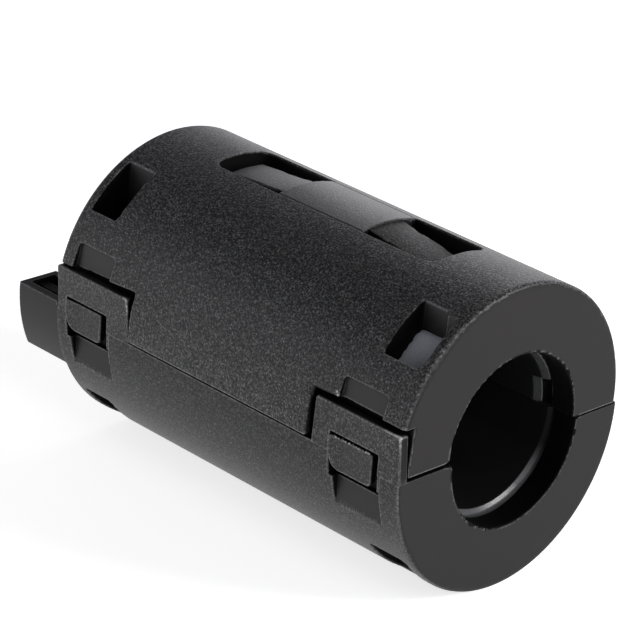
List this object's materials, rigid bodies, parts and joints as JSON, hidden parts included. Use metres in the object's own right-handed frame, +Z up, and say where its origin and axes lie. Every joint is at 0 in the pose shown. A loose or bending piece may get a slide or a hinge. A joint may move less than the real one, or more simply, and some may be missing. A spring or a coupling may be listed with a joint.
{
  "type": "clip-on ferrite core",
  "caption": "Cylindrical clip-on cable choke: half-ring ferrites in a hinged black plastic case that snaps shut on latch loops, with crown springs and an end lug.",
  "frame": {"origin": "on the axis of the cable bore, half way along the case", "axes": "+X along the bore towards the end without the lug, +Y towards the hinge, +Z up, away from the half that carries the latch loops"},
  "size_m": [0.0435, 0.0259, 0.0251],
  "materials": {
    "case_plastic": "fine spark-eroded grain, matte",
    "ferrite": "sintered ceramic, dull dark grey"
  },
  "bodies": {
    "lower": {"lower_shell": "case_plastic", "lower_core": "ferrite", "near_hinge_strap": "case_plastic", "far_hinge_strap": "case_plastic"},
    "upper": {"upper_shell": "case_plastic", "upper_core": "ferrite"},
    "near_latch": {"near_latch_loop": "case_plastic"},
    "far_latch": {"far_latch_loop": "case_plastic"}
  },
  "joints": [
    {"name": "lid_hinge", "type": "hinge", "parent": "lower", "child": "upper", "pos_m": [0, 0.0123, 0], "axis": [-1, 0, 0], "range_deg": [0, 180], "deforming": ["near_hinge_strap", "far_hinge_strap"]},
    {"name": "near_latch_flex", "type": "hinge", "parent": "lower", "child": "near_latch", "pos_m": [0.0148, -0.01214, -0.002], "axis": [1, 0, 0], "range_deg": [0, 12], "stiffness_Nm_per_rad": 0.1},
    {"name": "far_latch_flex", "type": "hinge", "parent": "lower", "child": "far_latch", "pos_m": [-0.015, -0.01214, -0.002], "axis": [1, 0, 0], "range_deg": [0, 12], "stiffness_Nm_per_rad": 0.1}
  ]
}
